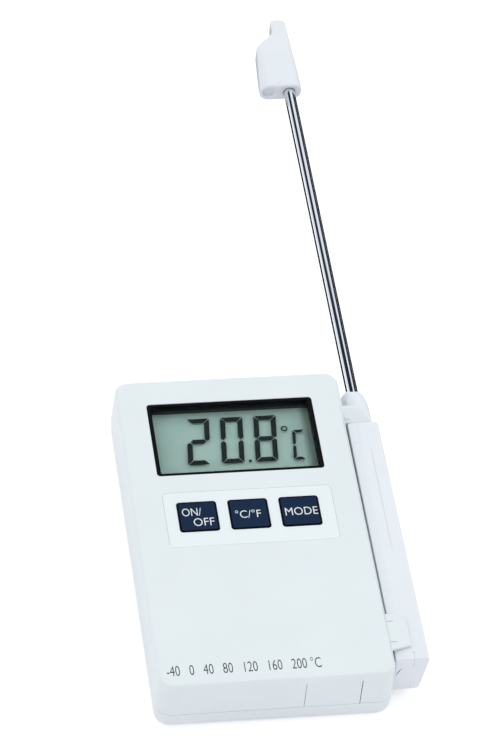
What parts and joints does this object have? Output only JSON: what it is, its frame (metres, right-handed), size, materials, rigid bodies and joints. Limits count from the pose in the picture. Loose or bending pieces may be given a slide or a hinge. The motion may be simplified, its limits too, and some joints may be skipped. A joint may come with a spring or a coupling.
{
  "type": "digital probe thermometer",
  "caption": "Hand-held digital probe thermometer with a display, three push keys, a battery drawer and a clip-on steel probe under a protective tip cap.",
  "frame": {"origin": "centre of the body's back face", "axes": "+X towards the probe handle, +Y towards the probe's tip, +Z out of the display"},
  "size_m": [0.0744, 0.2602, 0.0181],
  "materials": {
    "housing_plastic": "fine satin white ABS",
    "clear_plastic": "clear glossy acrylic",
    "black_plastic": "gloss black",
    "polariser_film": "grey-green film",
    "display_glass": "thin clear glass",
    "segment_black": "dark liquid-crystal segments",
    "reflector_film": "grey-green reflector",
    "strip_rubber": "striped conductive rubber",
    "panel_film": "printed white film",
    "mat_rubber": "grey silicone rubber",
    "key_navy": "satin navy blue",
    "carbon_pill": "carbon-filled rubber",
    "circuit_board": "green solder mask",
    "black_resin": "glossy black resin",
    "crystal_can": "plated can",
    "component_bodies": "small fired components",
    "screw_steel": "zinc-plated",
    "cell_steel": "stainless can",
    "contact_brass": "spring brass",
    "bush_rubber": "grey rubber",
    "handle_plastic": "fine satin white ABS",
    "stem_steel": "polished stainless steel",
    "collar_brass": "turned",
    "bead_ceramic": "dark bead",
    "potting_resin": "cast resin",
    "lead_insulation": "red insulation",
    "cap_plastic": "satin white"
  },
  "bodies": {
    "housing": {"front_shell": "housing_plastic", "rear_shell": "housing_plastic", "window_lens": "clear_plastic", "display_frame": "black_plastic", "display_polariser": "polariser_film", "display_front_glass": "display_glass", "display_segments": "segment_black", "display_rear_glass": "display_glass", "display_reflector": "reflector_film", "contact_strips": "strip_rubber", "key_panel": "panel_film", "key_mat": "mat_rubber", "main_board": "circuit_board", "controller_blob": "black_resin", "quartz_crystal": "crystal_can", "board_parts": "component_bodies", "board_screws": "screw_steel", "housing_screws": "screw_steel", "contact_positive": "contact_brass", "contact_negative": "contact_brass", "cord_inlet": "bush_rubber"},
    "key_on_off": {"key_on_off": "key_navy", "dome_on_off": "mat_rubber", "pill_on_off": "carbon_pill"},
    "key_unit": {"key_unit": "key_navy", "dome_unit": "mat_rubber", "pill_unit": "carbon_pill"},
    "key_mode": {"key_mode": "key_navy", "dome_mode": "mat_rubber", "pill_mode": "carbon_pill"},
    "battery_drawer": {"battery_door": "housing_plastic", "button_cell": "cell_steel"},
    "probe": {"handle_left_shell": "handle_plastic", "handle_right_shell": "handle_plastic", "probe_stem": "stem_steel", "stem_collar": "collar_brass", "sensor_bead": "bead_ceramic", "sensor_potting": "potting_resin", "sensor_leads": "lead_insulation", "cord_gland": "handle_plastic"},
    "tip_cap": {"tip_cap": "cap_plastic"}
  },
  "joints": [
    {"name": "press_on_off", "type": "slide", "parent": "housing", "child": "key_on_off", "axis": [0, 0, -1], "range_m": [0, 0.0004], "stiffness_N_per_m": 2500, "springref_m": -0.0001, "deforming": ["dome_on_off"]},
    {"name": "press_unit", "type": "slide", "parent": "housing", "child": "key_unit", "axis": [0, 0, -1], "range_m": [0, 0.0004], "stiffness_N_per_m": 2500, "springref_m": -0.0001, "deforming": ["dome_unit"]},
    {"name": "press_mode", "type": "slide", "parent": "housing", "child": "key_mode", "axis": [0, 0, -1], "range_m": [0, 0.0004], "stiffness_N_per_m": 2500, "springref_m": -0.0001, "deforming": ["dome_mode"]},
    {"name": "drawer_slide", "type": "slide", "parent": "housing", "child": "battery_drawer", "axis": [0, -1, 0], "range_m": [0, 0.02]},
    {"name": "probe_release", "type": "slide", "parent": "housing", "child": "probe", "axis": [1, 0, 0], "range_m": [0, 0.02]},
    {"name": "cap_pull", "type": "slide", "parent": "probe", "child": "tip_cap", "axis": [0, 1, 0], "range_m": [0, 0.03]}
  ]
}
